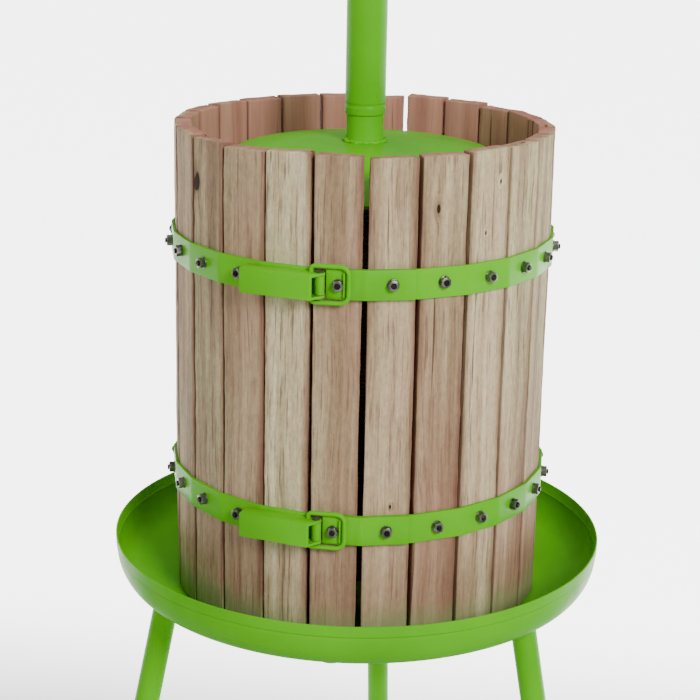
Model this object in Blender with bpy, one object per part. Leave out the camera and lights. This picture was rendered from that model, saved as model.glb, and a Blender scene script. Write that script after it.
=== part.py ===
"""Basket wine press: a slatted basket in two hinged halves, standing in a steel
basin on three legs, with a fixed central screw and a turning press tube.

Metres, +Z up. The origin is on the floor under the screw. The front, where the
drain is, faces -Y. An azimuth is measured from the front (-Y) towards +X.
"""

import math

import bmesh
import bpy
from mathutils import Matrix, Vector

# ---------------------------------------------------------------- dimensions
GAP = 0.0003                     # between pieces that touch

STAVES = 24
PITCH = 2 * math.pi / STAVES     # angle from one stave to the next
FACE = 0.199                     # axis to the flat outer face of a stave
STAVE_THICK = 0.018
STAVE_SLIT = 0.0036              # open slit between two staves
STAVE_CHAMFER = 0.0012
SPLIT = -PITCH / 2               # azimuth of the front split; the rear one is opposite

FLOOR = 0.380                    # top of the basin's flat floor
SHEET = 0.002                    # the basin's steel sheet
BASIN_DEPTH = 0.0565             # rim above the flat floor
BASIN_R = 0.266
RIM = FLOOR + BASIN_DEPTH
WALL_HEIGHT = 0.0125             # the nearly upright lip under the rim
WALL_IN = 0.001                  # how far that lip leans in
CORNER_A, CORNER_B = 0.0253, 0.0364   # the rounded corner, across and down
CORNER_END = math.radians(78)
APRON_SLOPE = math.tan(math.radians(16.7))
BASKET_LOW = FLOOR + 0.0008
BASKET_TOP = RIM + 0.453
DRAIN_AT = 0.205                 # centre of the drain, towards the front
DRAIN_R, DRAIN_BORE = 0.01345, 0.0105
DRAIN_LENGTH = 0.0090

LEG_TILT = math.radians(12)
LEG_AT = 0.2215                  # radius where a leg meets the basin
LEG_R, LEG_BORE = 0.01345, 0.01085
LEG_AZIMUTHS = {"left": -math.pi / 3, "right": math.pi / 3, "rear": math.pi}
STUD_R, STUD_LOW = 0.0105, 0.325
FOOT_R, FOOT_HEIGHT, FOOT_SOLE = 0.0170, 0.032, 0.006

SCREW_R = 0.014
SCREW_TOP = 0.955
SHOULDER_R, SHOULDER_TOP = 0.030, 0.392
SHANK_R, SHANK_LOW = 0.010, 0.349
NUT_FLATS, NUT_HEIGHT = 0.030, 0.018
NUT_FLANGE_R, NUT_FLANGE = 0.026, 0.005

BAND_HEIGHT, BAND_THICK = 0.030, 0.003
BANDS = {"upper": BASKET_TOP - 0.124, "lower": BASKET_TOP - 0.378}
BAND_FACE = FACE + GAP           # axis to the band's inner face
HINGE_R = 0.2085                 # axis to the rear hinge pins
KNUCKLE_R, KNUCKLE_BORE = 0.007, 0.0033
KNUCKLE_HALF = 0.0047            # half height of the middle knuckle
KNUCKLE_SPACE = 0.0005
SHY = 0.0001                     # keeps joined shapes from sharing a plane
HINGE_CLEAR = 0.009              # the bands stop this far from the rear split
PIN_R, PIN_HEAD_R, PIN_HEAD = 0.0030, 0.0050, 0.0022

# The toggle latch, in the frame of the first stave left of the split:
# (u, w) is u along the stave's face to the right and w out from the axis.
FULCRUM = (0.0382, 0.2064)
LOOP_PIVOT = (0.0294, 0.2064)
EYE_R, EYE_BORE, EYE_HALF = 0.0050, 0.0028, 0.0094
TONGUE_FROM = 0.030
LEVER_LEFT, LEVER_RIGHT = -0.039, 0.0346
LEVER_LOW, LEVER_OUT = 0.2035, 0.2230
LEVER_HALF, LEVER_WALL = 0.0123, 0.0025
EAR_R = 0.0054
LATCH_PIN_R, LATCH_HEAD_R, LATCH_HEAD = 0.0025, 0.0040, 0.0011
LOOP_BAR_R, LOOP_HALF, LOOP_CORNER = 0.0023, 0.0181, 0.0060
LOOP_BAR_AT = 0.0118             # along the first stave right of the split
KEEPER_FROM, KEEPER_THICK = -0.0108, 0.0025
KEEPER_FACE = BAND_FACE + BAND_THICK + GAP
LIP_AT, LIP_THICK, LIP_HEIGHT, LIP_HALF = 0.0062, 0.0015, 0.0033, 0.0120

PLATE_TOP = BASKET_TOP - 0.020
PLATE_THICK = 0.004
PLATE_BORE = 0.0152
CROWN_R, CROWN_DROP, CROWN_FLAT = 0.138, 0.011, 0.026
SKIRT_R, SKIRT_DROP = 0.168, 0.024
COLLAR_R, COLLAR_HEIGHT = 0.0194, 0.0287
TUBE_R, TUBE_BORE = 0.0212, 0.0180
TUBE_LOW, TUBE_TOP = PLATE_TOP + 0.029, 1.367
GROOVE_AT, GROOVE_HALF, GROOVE_DEPTH = 0.0100, 0.0020, 0.0006
DRIVE_NUT_R, DRIVE_NUT_BORE, DRIVE_NUT_HEIGHT = 0.0177, 0.0143, 0.045
BAR_AT, BAR_R, BAR_HALF = 1.345, 0.011, 0.331
GRIP_R, GRIP_LENGTH, GRIP_END = 0.0148, 0.115, 0.004
CAP_HEIGHT, CAP_SPIGOT = 0.006, 0.008
BOLT_R, BOLT_FLATS, BOLT_HEAD = 0.004, 0.013, 0.0055

GREEN = (0.165, 0.42, 0.035)
WOOD = (0.42, 0.29, 0.18)
ZINC = (0.55, 0.55, 0.52)
BLACK = (0.02, 0.02, 0.02)


# -------------------------------------------------------------------- helpers
def clear_scene():
    for old in list(bpy.data.objects):
        bpy.data.objects.remove(old, do_unlink=True)


def material(name, colour, roughness, metallic):
    made = bpy.data.materials.new(name)
    made.use_nodes = True
    shader = made.node_tree.nodes["Principled BSDF"]
    shader.inputs["Base Color"].default_value = (*colour, 1.0)
    shader.inputs["Roughness"].default_value = roughness
    shader.inputs["Metallic"].default_value = metallic
    return made


def finish(name, bm, surface, smooth=False):
    """Turns a bmesh into an object of its own."""
    bmesh.ops.remove_doubles(bm, verts=bm.verts, dist=1e-6)
    bmesh.ops.recalc_face_normals(bm, faces=bm.faces)
    mesh = bpy.data.meshes.new(name)
    bm.to_mesh(mesh)
    bm.free()
    if smooth:
        mesh.shade_smooth()
        mesh.set_sharp_from_angle(angle=math.radians(35))
    mesh.materials.append(surface)
    made = bpy.data.objects.new(name, mesh)
    bpy.context.scene.collection.objects.link(made)
    return made


def lathe(name, profile, surface, segments=64):
    """Turns a closed (radius, height) profile about Z; points on the axis close it."""
    bm = bmesh.new()
    verts = [bm.verts.new((r, 0, z)) for r, z in profile]
    pairs = list(zip(verts, verts[1:] + verts[:1]))
    edges = [bm.edges.new(pair) for pair in pairs if any(v.co.x > 1e-7 for v in pair)]
    bmesh.ops.spin(bm, geom=verts + edges, axis=(0, 0, 1), cent=(0, 0, 0),
                   angle=2 * math.pi, steps=segments, use_merge=True)
    return finish(name, bm, surface, smooth=True)


def prism(name, outline, low, high, surface, smooth=False):
    """An outline of (x, y) points, carried up from low to high."""
    bm = bmesh.new()
    face = bm.faces.new([bm.verts.new((x, y, low)) for x, y in outline])
    grown = bmesh.ops.extrude_face_region(bm, geom=[face])["geom"]
    top = [v for v in grown if isinstance(v, bmesh.types.BMVert)]
    bmesh.ops.translate(bm, verts=top, vec=(0, 0, high - low))
    return finish(name, bm, surface, smooth)


def loft(name, rings, surface, closed=False):
    """Joins rings of points in order; the ends are filled, or the last meets the first."""
    bm = bmesh.new()
    rows = [[bm.verts.new(p) for p in ring] for ring in rings]
    for low, high in zip(rows, rows[1:] + rows[:1] if closed else rows[1:]):
        for k in range(len(low)):
            bm.faces.new((low[k - 1], low[k], high[k], high[k - 1]))
    if not closed:
        bm.faces.new(rows[0])
        bm.faces.new(rows[-1])
    return finish(name, bm, surface, smooth=True)


def arc(centre, radius, start, end, steps):
    """Points of an arc, with its angles in degrees."""
    angles = [math.radians(start + (end - start) * k / steps) for k in range(steps + 1)]
    return [(centre[0] + radius * math.cos(a), centre[1] + radius * math.sin(a))
            for a in angles]


def circle(centre, radius, steps=24):
    return arc(centre, radius, 0, 360, steps)[:-1]


def hexagon(flats):
    return circle((0, 0), flats / math.sqrt(3), 6)


def at_front(points, azimuth):
    """(u, w) points on a face with this azimuth, as (x, y)."""
    c, s = math.cos(azimuth), math.sin(azimuth)
    return [(u * c + w * s, u * s - w * c) for u, w in points]


def guide(piece):
    piece.hide_render = True
    piece.display_type = "WIRE"
    return piece


def boolean(piece, operation, other):
    cut = piece.modifiers.new(operation.lower(), "BOOLEAN")
    cut.operation = operation
    cut.object = guide(other)


def pivot(name, place):
    """An empty on a joint's axis."""
    empty = bpy.data.objects.new(name, None)
    empty.location = place
    bpy.context.scene.collection.objects.link(empty)
    return empty


def hang(empty, pieces):
    for piece in pieces:
        piece.parent = empty
        piece.matrix_parent_inverse = Matrix.Translation(empty.location).inverted()


# ---------------------------------------------------------------------- basin
def basin_outline(inset):
    """Half of the basin's section from the rim to the flat floor. inset is measured
    inwards from the outer surface, as the sheet's two faces lie."""
    steps = 6
    wall_foot = (BASIN_R - WALL_IN, RIM - WALL_HEIGHT)
    middle = (wall_foot[0] - CORNER_A, wall_foot[1])
    a, b = CORNER_A - inset, CORNER_B - inset
    turn = [CORNER_END * k / steps for k in range(steps + 1)]
    corner = [(middle[0] + a * math.cos(t), middle[1] - b * math.sin(t)) for t in turn]
    floor = FLOOR - SHEET + inset
    run = (corner[-1][1] - floor) / APRON_SLOPE
    return [(BASIN_R - inset, RIM), *corner, (corner[-1][0] - run, floor)]


def make_basin(green):
    outer, inner = basin_outline(0.0), basin_outline(SHEET)
    bore = SHANK_R + 0.0004
    section = outer + [(bore, FLOOR - SHEET), (bore, FLOOR)] + inner[::-1]
    basin = lathe("basin", section, green, 56)
    hole = prism("drain_hole", circle((0, -DRAIN_AT), DRAIN_R + GAP), FLOOR - 0.01,
                 FLOOR + 0.01, green)
    boolean(basin, "DIFFERENCE", hole)
    spout = loft("drain_spout", [
        [(x, y, z) for x, y in circle((0, -DRAIN_AT), r, 32)]
        for r, z in ((DRAIN_R, FLOOR - DRAIN_LENGTH), (DRAIN_R, FLOOR),
                     (DRAIN_BORE, FLOOR), (DRAIN_BORE, FLOOR - DRAIN_LENGTH))
    ], green, closed=True)
    return [basin, spout]


def leg_ring(azimuth, radius, height, steps=32):
    """Where a tilted leg tube of this radius crosses the level plane at a height."""
    reach = LEG_AT + (FLOOR - height) * math.tan(LEG_TILT)
    out = Vector((math.sin(azimuth), -math.cos(azimuth), 0))
    side = Vector((-out.y, out.x, 0))
    turn = [2 * math.pi * k / steps for k in range(steps)]
    return [out * (reach + radius / math.cos(LEG_TILT) * math.cos(t))
            + side * radius * math.sin(t) + Vector((0, 0, height)) for t in turn]


def make_legs(green, zinc, black):
    under = basin_outline(-GAP)
    above = [(0.0, RIM + 0.02), (under[0][0], RIM + 0.02), *under, (0.0, under[-1][1])]
    cutter = lathe("basin_shadow", above[::-1], green, 56)
    made = []
    for side, azimuth in LEG_AZIMUTHS.items():
        tube = loft(f"leg_{side}", [
            leg_ring(azimuth, LEG_R, FOOT_SOLE + GAP), leg_ring(azimuth, LEG_R, RIM),
            leg_ring(azimuth, LEG_BORE, RIM), leg_ring(azimuth, LEG_BORE, FOOT_SOLE + GAP)
        ], green, closed=True)
        boolean(tube, "DIFFERENCE", cutter)
        stud = loft(f"leg_stud_{side}", [
            leg_ring(azimuth, STUD_R, STUD_LOW), leg_ring(azimuth, STUD_R, RIM)
        ], zinc)
        boolean(stud, "DIFFERENCE", cutter)
        foot = loft(f"foot_{side}", [
            leg_ring(azimuth, LEG_R + GAP, FOOT_SOLE),
            leg_ring(azimuth, LEG_R + GAP, FOOT_HEIGHT),
            leg_ring(azimuth, FOOT_R, FOOT_HEIGHT), leg_ring(azimuth, FOOT_R, 0)
        ], black)
        made += [tube, stud, foot]
    return made


def make_screw(zinc):
    """The fixed screw, without its thread, and what holds it under the basin."""
    point = 0.0015
    under = FLOOR - SHEET - GAP
    screw = lathe("screw", [
        (0, SCREW_TOP), (SCREW_R - point, SCREW_TOP), (SCREW_R, SCREW_TOP - point),
        (SCREW_R, SHOULDER_TOP), (SHOULDER_R, SHOULDER_TOP), (SHOULDER_R, FLOOR + GAP),
        (SHANK_R, FLOOR + GAP), (SHANK_R, SHANK_LOW), (0, SHANK_LOW)], zinc, 40)
    flange = circle((0, 0), NUT_FLANGE_R, 32)
    nut = prism("screw_nut", hexagon(NUT_FLATS), under - NUT_HEIGHT, under, zinc)
    boolean(nut, "UNION", prism("nut_flange", flange, under - NUT_FLANGE, under, zinc))
    bore = prism("screw_nut_bore", circle((0, 0), SHANK_R + GAP, 32), under - 0.03,
                 under + 0.01, zinc)
    boolean(nut, "DIFFERENCE", bore)
    return [screw, nut]


# --------------------------------------------------------------------- basket
def make_staves(wood):
    """The staves, as (left half, right half), each going away from the front split."""
    inner = FACE - STAVE_THICK
    half = [w * math.tan(PITCH / 2) - STAVE_SLIT / 2 for w in (FACE, inner)]
    outline = [(-half[0], FACE), (half[0], FACE), (half[1], inner), (-half[1], inner)]
    left, right = [], []
    for k in range(STAVES // 2):
        for side, row, turn in (("left", left, -(k + 1)), ("right", right, k)):
            stave = prism(f"stave_{side}_{k + 1:02d}", at_front(outline, turn * PITCH),
                          BASKET_LOW, BASKET_TOP, wood)
            bevel = stave.modifiers.new("chamfer", "BEVEL")
            bevel.width = STAVE_CHAMFER
            bevel.segments = 1
            row.append(stave)
    return left, right


def band_outline(first, last, start, end, face, thick):
    """A flat bar bent at every stave boundary, from u = start on the stave with
    azimuth first to u = end on the stave with azimuth last."""
    count = round((last - first) / PITCH)
    corners = [first + PITCH * (k + 0.5) for k in range(count)]
    sides = []
    for w in (face, face + thick):
        r = w / math.cos(PITCH / 2)
        bends = [(r * math.sin(a), -r * math.cos(a)) for a in corners]
        sides.append([*at_front([(start, w)], first), *bends, *at_front([(end, w)], last)])
    return sides[0] + sides[1][::-1]


def add_knuckle(band, azimuth, ring, tab_from, low, high, radius, bore, surface):
    """Rolls part of a band's end round a pin at ring, a (u, w) place."""
    centre_u, centre_w = ring
    side = 1 if centre_u > tab_from else -1
    inner, outer = BAND_FACE + SHY, BAND_FACE + BAND_THICK - SHY
    meets = 180 + math.degrees(math.asin((centre_w - outer) / radius))
    outline = [(-abs(centre_u - tab_from), inner), (0, inner),
               *arc((0, centre_w), radius, -70, meets, 28), (-abs(centre_u - tab_from), outer)]
    shape = at_front([(centre_u + side * u, w) for u, w in outline], azimuth)
    tag = f"{band.name}_{low:.4f}"
    boolean(band, "UNION", prism(f"{tag}_roll", shape, low + SHY, high - SHY, surface))
    hole = circle(at_front([ring], azimuth)[0], bore)
    boolean(band, "DIFFERENCE",
            prism(f"{tag}_bore", hole, low - 0.001, high + 0.001, surface))


def make_bands(level, height, green, zinc):
    """Both half bands at one height, and the pin that hinges them at the rear."""
    low, high = height - BAND_HEIGHT / 2, height + BAND_HEIGHT / 2
    half_stave = FACE * math.tan(PITCH / 2)
    hinge_u = HINGE_R * math.sin(PITCH / 2)
    hinge_w = HINGE_R * math.cos(PITCH / 2)
    stop = half_stave - HINGE_CLEAR
    rear_left, rear_right = -math.pi, math.pi - PITCH

    left = prism(f"band_left_{level}", band_outline(
        rear_left, -PITCH, -stop, TONGUE_FROM, BAND_FACE, BAND_THICK), low, high, green)
    add_knuckle(left, rear_left, (-hinge_u, hinge_w), -stop + 0.002,
                height - KNUCKLE_HALF, height + KNUCKLE_HALF, KNUCKLE_R, KNUCKLE_BORE, green)
    add_knuckle(left, -PITCH, FULCRUM, TONGUE_FROM - 0.002,
                height - EYE_HALF, height + EYE_HALF, EYE_R, EYE_BORE, green)

    right = prism(f"band_right_{level}", band_outline(
        0, rear_right, KEEPER_FROM, stop, BAND_FACE, BAND_THICK), low, high, green)
    edge = KNUCKLE_HALF + KNUCKLE_SPACE
    for bottom, top in ((low, height - edge), (height + edge, high)):
        add_knuckle(right, rear_right, (hinge_u, hinge_w), stop - 0.002,
                    bottom, top, KNUCKLE_R, KNUCKLE_BORE, green)

    pin = lathe(f"hinge_pin_{level}", [
        (0, high + GAP + PIN_HEAD), (PIN_HEAD_R, high + GAP + PIN_HEAD),
        (PIN_HEAD_R, high + GAP), (PIN_R, high + GAP), (PIN_R, low - 0.003),
        (0, low - 0.003)], zinc, 24)
    pin.location = (*at_front([(hinge_u, hinge_w)], rear_right)[0], 0)
    return left, right, pin


def make_lever(level, height, green):
    """A channel that folds flat over the left band, with ears round the fulcrum."""
    outline = [(LEVER_LEFT, LEVER_LOW), (TONGUE_FROM, LEVER_LOW),
               *arc(FULCRUM, EAR_R, 222, 400, 12), (LEVER_RIGHT, LEVER_OUT),
               (LEVER_LEFT, LEVER_OUT)]
    lever = prism(f"latch_lever_{level}", at_front(outline, -PITCH),
                  height - LEVER_HALF, height + LEVER_HALF, green)
    web = LEVER_OUT - LEVER_WALL
    room = [(LEVER_LEFT - 0.01, 0.19), (0.06, 0.19), (0.06, web), (LEVER_LEFT - 0.01, web)]
    inside = LEVER_HALF - LEVER_WALL
    boolean(lever, "DIFFERENCE", prism(f"lever_room_{level}", at_front(room, -PITCH),
                                       height - inside, height + inside, green))
    for at, radius in ((FULCRUM, EYE_BORE), (LOOP_PIVOT, LOOP_BAR_R + GAP)):
        hole = prism(f"lever_hole_{level}_{at[0]:.4f}",
                     circle(at_front([at], -PITCH)[0], radius), height - 0.02,
                     height + 0.02, green)
        boolean(lever, "DIFFERENCE", hole)
    return lever


def rounded(points, radius, steps=5):
    """The points of a path whose inner corners are rounded."""
    path = [Vector(points[0])]
    for before, corner, after in zip(points, points[1:], points[2:]):
        corner = Vector(corner)
        start = corner + (Vector(before) - corner).normalized() * radius
        end = corner + (Vector(after) - corner).normalized() * radius
        for k in range(steps + 1):
            t = k / steps
            path.append(start.lerp(corner, t).lerp(corner.lerp(end, t), t))
    return path + [Vector(points[-1])]


def make_loop(level, height, green):
    """A round bar bent to a U; its turned-in ends pivot in the lever's ears."""
    pivot_x, pivot_y = at_front([LOOP_PIVOT], -PITCH)[0]
    bar_w = KEEPER_FACE + KEEPER_THICK + GAP + LOOP_BAR_R
    bar_x, bar_y = at_front([(LOOP_BAR_AT, bar_w)], 0)[0]
    end = LEVER_HALF - LEVER_WALL
    path = [(pivot_x, pivot_y, height + end), (pivot_x, pivot_y, height + LOOP_HALF),
            (bar_x, bar_y, height + LOOP_HALF), (bar_x, bar_y, height - LOOP_HALF),
            (pivot_x, pivot_y, height - LOOP_HALF), (pivot_x, pivot_y, height - end)]
    curve = bpy.data.curves.new(f"latch_loop_{level}", "CURVE")
    curve.dimensions = "3D"
    curve.bevel_depth = LOOP_BAR_R
    curve.bevel_resolution = 3
    curve.use_fill_caps = True
    points = rounded(path, LOOP_CORNER)
    spline = curve.splines.new("POLY")
    spline.points.add(len(points) - 1)
    for slot, p in zip(spline.points, points):
        slot.co = (*p, 1)
    curve.materials.append(green)
    loop = bpy.data.objects.new(f"latch_loop_{level}", curve)
    bpy.context.scene.collection.objects.link(loop)
    return loop


def make_latch_pin(level, height, zinc):
    head = LEVER_HALF + GAP
    section = [(0, head + LATCH_HEAD), (LATCH_HEAD_R, head + LATCH_HEAD),
               (LATCH_HEAD_R, head), (LATCH_PIN_R, head), (LATCH_PIN_R, -head),
               (LATCH_HEAD_R, -head), (LATCH_HEAD_R, -head - LATCH_HEAD),
               (0, -head - LATCH_HEAD)]
    pin = lathe(f"latch_pin_{level}", section, zinc, 20)
    pin.location = (*at_front([FULCRUM], -PITCH)[0], height)
    return pin


def make_keeper(level, height, green):
    """A strip over the right band, with the lip that the loop's bar sits behind."""
    half_stave = FACE * math.tan(PITCH / 2)
    outline = band_outline(0, PITCH, KEEPER_FROM, half_stave - STAVE_SLIT,
                           KEEPER_FACE, KEEPER_THICK)
    low, high = height - BAND_HEIGHT / 2, height + BAND_HEIGHT / 2
    keeper = prism(f"latch_keeper_{level}", outline, low, high, green)
    front = KEEPER_FACE + KEEPER_THICK
    lip = [(LIP_AT, front - 0.001), (LIP_AT + LIP_THICK, front - 0.001),
           (LIP_AT + LIP_THICK, front + LIP_HEIGHT), (LIP_AT, front + LIP_HEIGHT)]
    boolean(keeper, "UNION", prism(f"keeper_lip_{level}", at_front(lip, 0),
                                   height - LIP_HALF, height + LIP_HALF, green))
    return keeper


# ---------------------------------------------------------------------- press
def make_plate(green):
    """The press plate, a shallow inverted dish, and the collar welded on its crown."""
    steps = 4
    top = [(PLATE_BORE, 0.0), (CROWN_FLAT, 0.0)]
    for k in range(1, steps + 1):
        r = CROWN_FLAT + (CROWN_R - CROWN_FLAT) * k / steps
        top.append((r, -CROWN_DROP * ((r - CROWN_FLAT) / (CROWN_R - CROWN_FLAT)) ** 2))
    top.append((SKIRT_R, -CROWN_DROP - SKIRT_DROP))
    bottom = [(r - (0.0015 if r == SKIRT_R else 0.0), z - PLATE_THICK) for r, z in top]
    section = [(r, z + PLATE_TOP) for r, z in top + bottom[::-1]]
    plate = lathe("press_plate", section, green, 56)
    low = PLATE_TOP + GAP
    collar = lathe("plate_collar", [
        (COLLAR_R, low + COLLAR_HEIGHT - GAP), (COLLAR_R, low), (PLATE_BORE, low),
        (PLATE_BORE, low + COLLAR_HEIGHT - GAP)], green, 40)
    return [plate, collar]


def make_press_tube(green, zinc, black):
    """What turns: the tube, the nut in its lower end, and the T-handle at its head."""
    groove = TUBE_LOW + GROOVE_AT
    tube = lathe("press_tube", [
        (TUBE_R, TUBE_TOP), (TUBE_R, groove + GROOVE_HALF),
        (TUBE_R - GROOVE_DEPTH, groove + GROOVE_HALF / 2),
        (TUBE_R - GROOVE_DEPTH, groove - GROOVE_HALF / 2),
        (TUBE_R, groove - GROOVE_HALF), (TUBE_R, TUBE_LOW), (TUBE_BORE, TUBE_LOW),
        (TUBE_BORE, TUBE_TOP)], green, 40)
    across = lathe("bar_hole", [
        (0, 0.05), (BAR_R + GAP, 0.05), (BAR_R + GAP, -0.05), (0, -0.05)], green, 32)
    across.rotation_euler.x = math.pi / 2
    across.location.z = BAR_AT
    boolean(tube, "DIFFERENCE", across)
    bolt_hole = lathe("bolt_hole", [
        (0, 0.05), (BOLT_R + GAP, 0.05), (BOLT_R + GAP, 0.012), (0, 0.012)], green, 20)
    bolt_hole.rotation_euler.y = math.pi / 2
    bolt_hole.location.z = BAR_AT
    boolean(tube, "DIFFERENCE", bolt_hole)

    nut_low = TUBE_LOW + GAP
    nut = lathe("drive_nut", [
        (DRIVE_NUT_R, nut_low + DRIVE_NUT_HEIGHT), (DRIVE_NUT_R, nut_low),
        (DRIVE_NUT_BORE, nut_low), (DRIVE_NUT_BORE, nut_low + DRIVE_NUT_HEIGHT)], zinc, 40)

    low = TUBE_TOP + GAP
    cap = lathe("tube_cap", [
        (0, low + CAP_HEIGHT), (TUBE_R * 0.6, low + CAP_HEIGHT),
        (TUBE_R * 0.92, low + CAP_HEIGHT * 0.6), (TUBE_R, low), (TUBE_BORE - GAP, low),
        (TUBE_BORE - GAP, low - CAP_SPIGOT), (0, low - CAP_SPIGOT)], black, 40)

    edge = 0.001
    bar = lathe("handle_bar", [
        (0, BAR_HALF), (BAR_R - edge, BAR_HALF), (BAR_R, BAR_HALF - edge),
        (BAR_R, edge - BAR_HALF), (BAR_R - edge, -BAR_HALF), (0, -BAR_HALF)], green, 32)
    bar.rotation_euler.x = math.pi / 2
    bar.location.z = BAR_AT

    near = BAR_HALF + GAP
    grip = [(0, near + GRIP_END), (GRIP_R * 0.8, near + GRIP_END),
            (GRIP_R, near), (GRIP_R, near - GRIP_LENGTH),
            (BAR_R + GAP, near - GRIP_LENGTH), (BAR_R + GAP, near), (0, near)]
    grips = []
    for side, turn in (("front", math.pi / 2), ("rear", -math.pi / 2)):
        made = lathe(f"grip_{side}", grip, black, 32)
        made.rotation_euler.x = turn
        made.location.z = BAR_AT
        grips.append(made)

    head = TUBE_R + GAP
    bolt = prism("bar_bolt", hexagon(BOLT_FLATS), head, head + BOLT_HEAD, zinc)
    shank = prism("bar_bolt_shank", circle((0, 0), BOLT_R), BAR_R + GAP, head + 0.001, zinc)
    for piece in (bolt, shank):
        piece.rotation_euler.y = math.pi / 2
        piece.location.z = BAR_AT
    boolean(bolt, "UNION", shank)
    return [tube, nut, cap, bar, *grips, bolt]


# ------------------------------------------------------------------- assembly
def build():
    clear_scene()
    green = material("green_paint", GREEN, 0.35, 0.0)
    wood = material("beech", WOOD, 0.75, 0.0)
    zinc = material("zinc_plate", ZINC, 0.4, 1.0)
    black = material("black_rubber", BLACK, 0.8, 0.0)

    make_basin(green)
    make_legs(green, zinc, black)
    make_screw(zinc)

    left, _right = make_staves(wood)
    for level, height in BANDS.items():
        band, _other, _pin = make_bands(level, height, green, zinc)
        fulcrum = (*at_front([FULCRUM], -PITCH)[0], height)
        swing = (*at_front([LOOP_PIVOT], -PITCH)[0], height)
        hang(pivot(f"lever_axis_{level}", fulcrum), [make_lever(level, height, green)])
        hang(pivot(f"loop_axis_{level}", swing), [make_loop(level, height, green)])
        left += [band, make_latch_pin(level, height, zinc)]
        make_keeper(level, height, green)
    rear = HINGE_R * math.sin(-SPLIT), HINGE_R * math.cos(SPLIT), BASKET_LOW
    hang(pivot("half_basket_axis", rear), left)

    hang(pivot("plate_axis", (0, 0, PLATE_TOP)), make_plate(green))
    hang(pivot("tube_axis", (0, 0, TUBE_LOW)), make_press_tube(green, zinc, black))


build()
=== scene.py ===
# %% [markdown]
# # A basket wine press
#
# The press is a slatted wooden basket that stands in a green steel basin on three
# legs. A tube with a T-handle turns on a fixed screw and pushes a dished plate down
# on the grapes. The CAD model comes in as a fixed frame, and this lesson builds the
# looks round it: sawn staves with grain and wine stains, bent steel bands, bolts,
# latches, a spun basin and gloss enamel.
#
# Everything is in metres, +Z is up and the front of the press faces -Y.

import math
import random

import bmesh
import bpy
from mathutils import Matrix, Vector


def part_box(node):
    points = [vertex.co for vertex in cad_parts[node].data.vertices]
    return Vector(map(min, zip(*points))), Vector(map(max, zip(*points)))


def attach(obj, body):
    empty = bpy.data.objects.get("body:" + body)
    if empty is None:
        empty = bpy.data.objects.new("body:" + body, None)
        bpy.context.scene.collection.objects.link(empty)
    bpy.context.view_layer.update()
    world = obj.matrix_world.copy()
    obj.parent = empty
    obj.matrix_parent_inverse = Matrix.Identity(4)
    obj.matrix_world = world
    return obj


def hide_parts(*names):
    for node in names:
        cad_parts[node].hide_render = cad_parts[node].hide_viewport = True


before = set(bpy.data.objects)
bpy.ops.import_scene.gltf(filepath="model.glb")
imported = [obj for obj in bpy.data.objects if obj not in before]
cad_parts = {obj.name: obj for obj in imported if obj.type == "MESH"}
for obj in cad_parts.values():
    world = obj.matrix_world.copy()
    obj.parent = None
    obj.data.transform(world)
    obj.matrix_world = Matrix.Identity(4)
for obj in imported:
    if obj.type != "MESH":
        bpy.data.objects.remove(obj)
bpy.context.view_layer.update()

# %% [markdown]
# ## Small helpers
#
# An operator in Blender acts on whatever is selected, so each step starts by
# selecting exactly what it needs. In edit mode, faces, edges or points are picked by
# a test on their place or direction, as one would pick them by eye with the mouse.

# %% Select pieces, and parts of a mesh
def only(*pieces):
    """Leaves edit mode and selects these pieces alone; the first is the active one."""
    if bpy.context.mode != "OBJECT":
        bpy.ops.object.mode_set(mode="OBJECT")
    bpy.ops.object.select_all(action="DESELECT")
    for piece in pieces:
        piece.select_set(True)
        bpy.context.view_layer.objects.active = pieces[0]


def edit(piece):
    only(piece)
    bpy.ops.object.mode_set(mode="EDIT")


def pick(kind, test):
    """Selects the points ("VERT"), edges or faces being edited that pass a test."""
    bpy.ops.mesh.select_mode(type=kind)
    bpy.ops.mesh.select_all(action="DESELECT")
    piece = bpy.context.edit_object
    mesh = bmesh.from_edit_mesh(piece.data)
    chosen = [part for part in {"VERT": mesh.verts, "EDGE": mesh.edges,
                                "FACE": mesh.faces}[kind] if test(part)]
    for part in chosen:
        part.select_set(True)
    bmesh.update_edit_mesh(piece.data)
    return len(chosen)


def sharp(edge, degrees=50):
    """Whether an edge turns by more than this angle."""
    return len(edge.link_faces) == 2 and edge.calc_face_angle(0) > math.radians(degrees)


def run_of(edge):
    """The direction of an edge."""
    return (edge.verts[1].co - edge.verts[0].co).normalized()


# %% Close a mesh and shade it
def close_up(piece, angle=35):
    """Merges doubles, turns the faces outwards, and smooths all but sharp edges."""
    edit(piece)
    bpy.ops.mesh.select_all(action="SELECT")
    bpy.ops.mesh.remove_doubles(threshold=1e-6)
    bpy.ops.mesh.normals_make_consistent(inside=False)
    only(piece)
    bpy.ops.object.shade_smooth_by_angle(angle=math.radians(angle))
    return piece


def apply_modifier(piece, kind, **settings):
    """Adds a modifier, sets it and applies it."""
    only(piece)
    made = piece.modifiers.new(kind.lower(), kind)
    for name, value in settings.items():
        setattr(made, name, value)
    bpy.ops.object.modifier_apply(modifier=made.name)
    return piece


def cut(piece, operation, other):
    """Joins, cuts or trims a piece with another one, which is used up."""
    apply_modifier(piece, "BOOLEAN", operation=operation, object=other, solver="EXACT")
    bpy.data.objects.remove(other, do_unlink=True)
    return piece


# %% [markdown]
# A round piece is quickest drawn as half of its section, a chain of (radius, height)
# points, which is then spun round the axis, just as it would be turned on a lathe.
# Corners are rounded in the section, where that is easy.

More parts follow.
